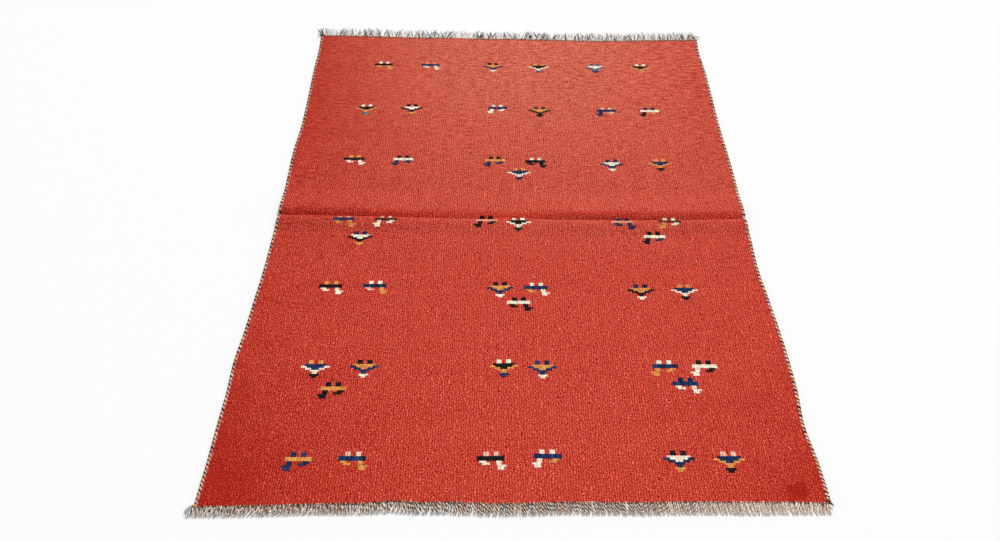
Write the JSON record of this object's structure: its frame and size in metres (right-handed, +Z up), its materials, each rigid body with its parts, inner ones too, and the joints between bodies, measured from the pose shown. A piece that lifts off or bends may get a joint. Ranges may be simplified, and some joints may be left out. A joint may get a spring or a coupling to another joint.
{
  "type": "kilim rug",
  "caption": "Flat-woven rug with a plain field, small scattered woven figures, overcast sides, a fold across its middle and a fringe at each end.",
  "frame": {"origin": "on the floor, under the middle of the rug's bounding box", "axes": "+Z up from the floor, +Y along the rug from its near fringe to its far fringe, +X across it to the right"},
  "size_m": [1.5198, 2.123, 0.0182],
  "materials": {
    "cloth": "orange-red weft-faced wool weave, matt, with lighter and darker flecks",
    "binding": "wool overcasting in near-black, cream and salmon wraps",
    "fringe": "undyed warp yarn in cream, grey and brown"
  },
  "bodies": {
    "root": {"cloth": "cloth", "binding_left": "binding", "binding_right": "binding", "fringe_near": "fringe", "fringe_far": "fringe"}
  },
  "joints": []
}
